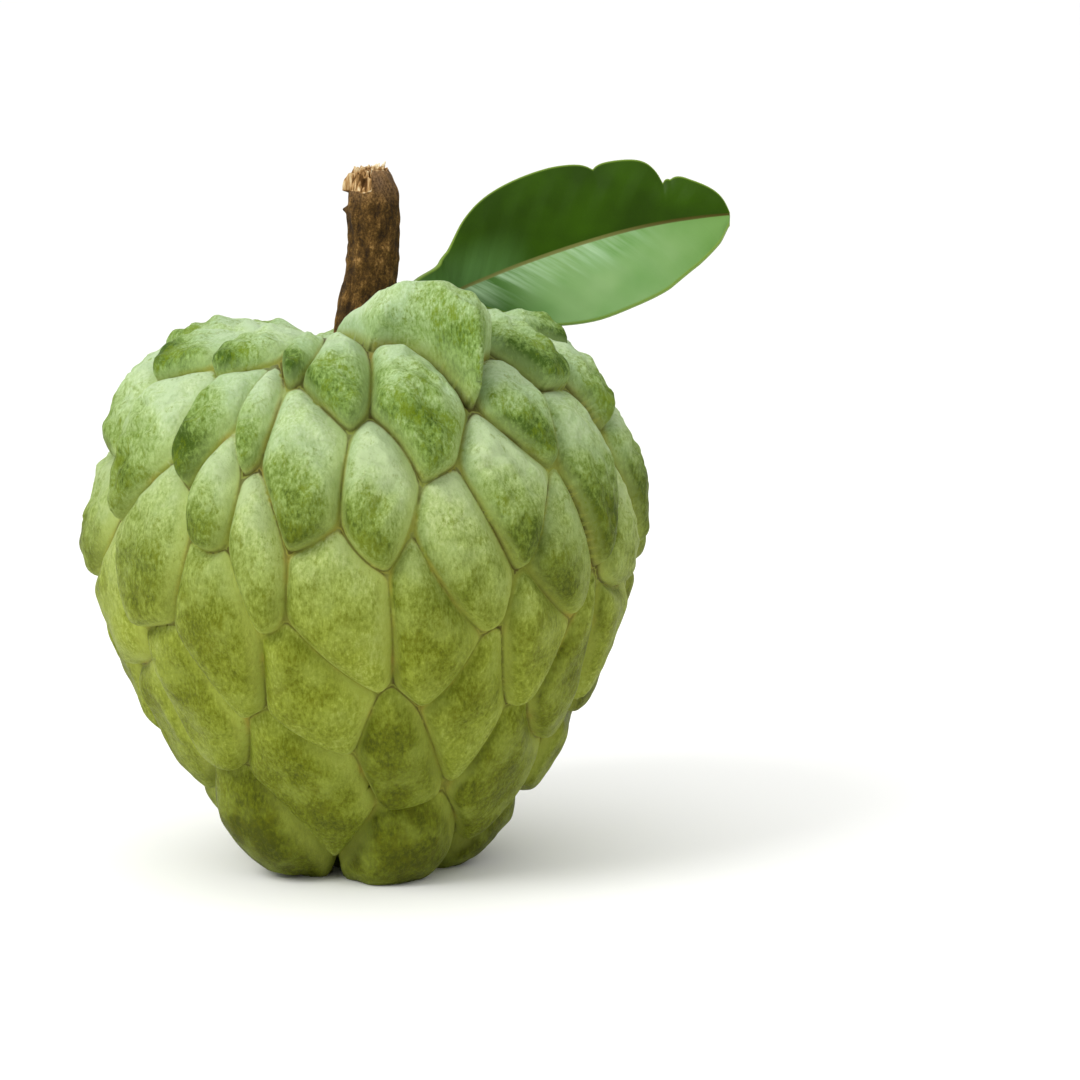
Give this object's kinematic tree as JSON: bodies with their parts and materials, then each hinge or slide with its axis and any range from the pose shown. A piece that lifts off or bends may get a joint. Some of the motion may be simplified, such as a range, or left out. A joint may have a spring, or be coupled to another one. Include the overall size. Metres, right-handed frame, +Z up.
{
  "type": "custard apple",
  "caption": "Heart-shaped custard apple with raised overlapping green scales, a woody broken stem and one folded leaf; stands on its blunt lower end.",
  "frame": {"origin": "middle of the flat spot under the fruit, on the plane it stands on", "axes": "+Z up along the fruit's core axis, -Y towards the side that shows the stem in front of the leaf, +X towards the leaf's tip"},
  "size_m": [0.0924, 0.0819, 0.1003],
  "materials": {
    "skin": "sage green fruit skin, half matt, with pale edges to the scales",
    "bark": "rough brown bark",
    "blade": "smooth green leaf, half gloss"
  },
  "bodies": {
    "root": {"fruit": "skin", "stem": "bark", "leaf": "blade"}
  },
  "joints": []
}
